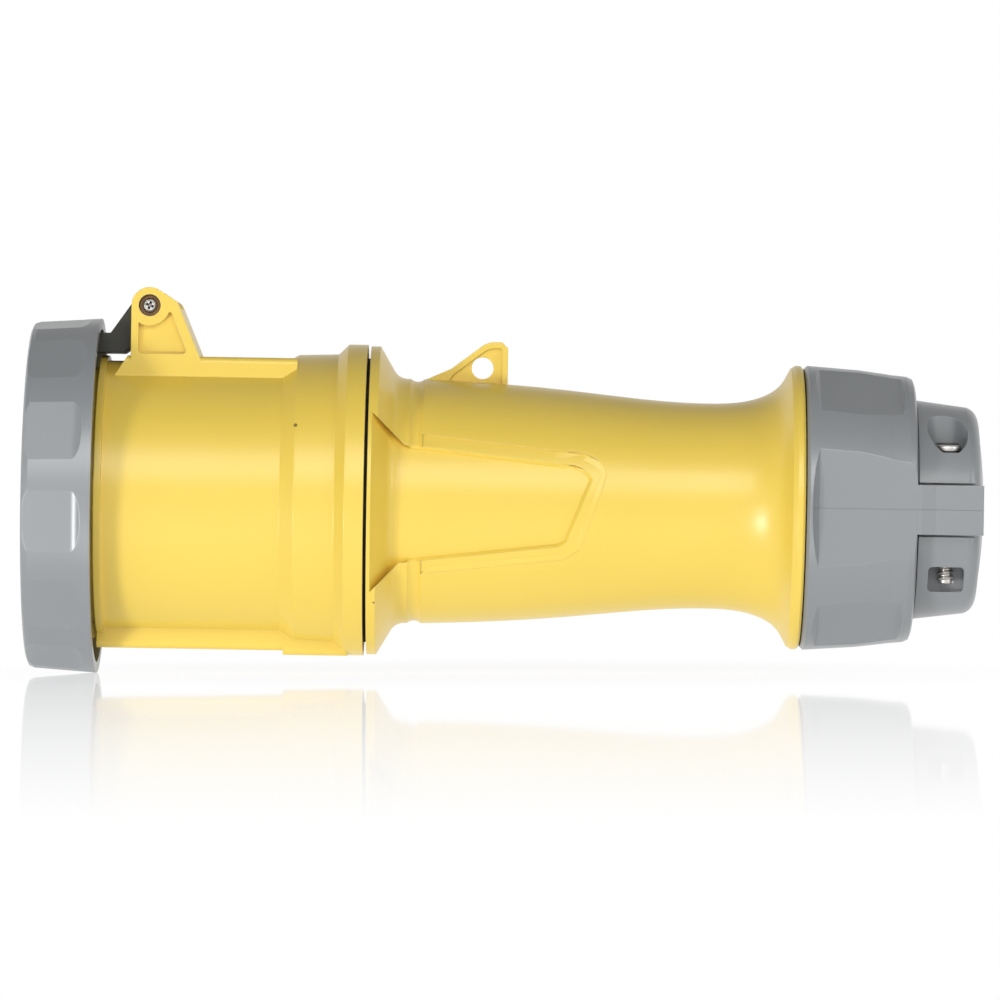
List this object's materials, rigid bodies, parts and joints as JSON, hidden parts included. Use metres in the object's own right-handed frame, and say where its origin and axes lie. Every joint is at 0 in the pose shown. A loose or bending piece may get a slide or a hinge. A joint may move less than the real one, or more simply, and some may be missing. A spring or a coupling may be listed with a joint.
{
  "type": "pin and sleeve connector",
  "caption": "Cord-end female pin and sleeve connector with a hinged sealing lid, a bayonet locking ring, a gland nut and a two-jaw cord grip.",
  "frame": {"origin": "on the connector's axis, in the mouth of the centre pilot sleeve", "axes": "+X along the connector towards the cord end, +Z towards the lid's hinge, -Y towards the camera"},
  "size_m": [0.2846, 0.1062, 0.1154],
  "materials": {
    "yellow_plastic": "satin moulded",
    "grey_plastic": "satin moulded",
    "black_plastic": "satin moulded",
    "black_rubber": "matt",
    "white_plastic": "plain",
    "steel": "plain stainless",
    "brass": "machined"
  },
  "bodies": {
    "shell": {"front_housing": "yellow_plastic", "rear_housing": "yellow_plastic", "hinge_pin": "steel", "contact_carrier": "black_plastic", "terminal_block": "black_plastic", "line_contact_top": "brass", "line_contact_side": "brass", "earth_contact": "brass", "pilot_contact": "brass", "contact_springs": "steel", "terminal_screws": "steel", "carrier_screws": "steel", "housing_screws": "steel", "housing_gasket": "black_rubber", "gland_bush": "black_rubber"},
    "lid": {"lid": "black_plastic", "lid_gasket": "black_rubber", "lid_spring": "steel"},
    "ring": {"locking_ring": "grey_plastic"},
    "washer": {"slip_washer": "white_plastic"},
    "gland": {"gland_nut": "grey_plastic"},
    "upper_clamp": {"upper_jaw": "grey_plastic", "clamp_screws": "steel"},
    "lower_clamp": {"lower_jaw": "grey_plastic"}
  },
  "joints": [
    {"name": "lid_hinge", "type": "hinge", "parent": "shell", "child": "lid", "pos_m": [0.02135, 0, 0.0569], "axis": [0, 1, 0], "range_deg": [0, 115], "stiffness_Nm_per_rad": 0.22, "springref_deg": -120.32, "deforming": ["lid_spring"]},
    {"name": "ring_turn", "type": "hinge", "parent": "lid", "child": "ring", "pos_m": [0, 0, 0], "axis": [1, 0, 0], "range_deg": [0, 30]},
    {"name": "washer_slide", "type": "slide", "parent": "shell", "child": "washer", "axis": [1, 0, 0], "range_m": [0, 0.006]},
    {"name": "gland_turn", "type": "hinge", "parent": "washer", "child": "gland", "pos_m": [0.24, 0, 0], "axis": [1, 0, 0], "range_deg": [0, 720]},
    {"name": "upper_jaw_slide", "type": "slide", "parent": "gland", "child": "upper_clamp", "axis": [0, 0, 1], "range_m": [0, 0.003]},
    {"name": "lower_jaw_slide", "type": "slide", "parent": "gland", "child": "lower_clamp", "axis": [0, 0, 1], "range_m": [-0.003, 0]}
  ],
  "couplings": [
    {"joint": "washer_slide", "follows": "gland_turn", "m_per_rad": 0.000477},
    {"joint": "lower_jaw_slide", "follows": "upper_jaw_slide", "ratio": -1}
  ]
}
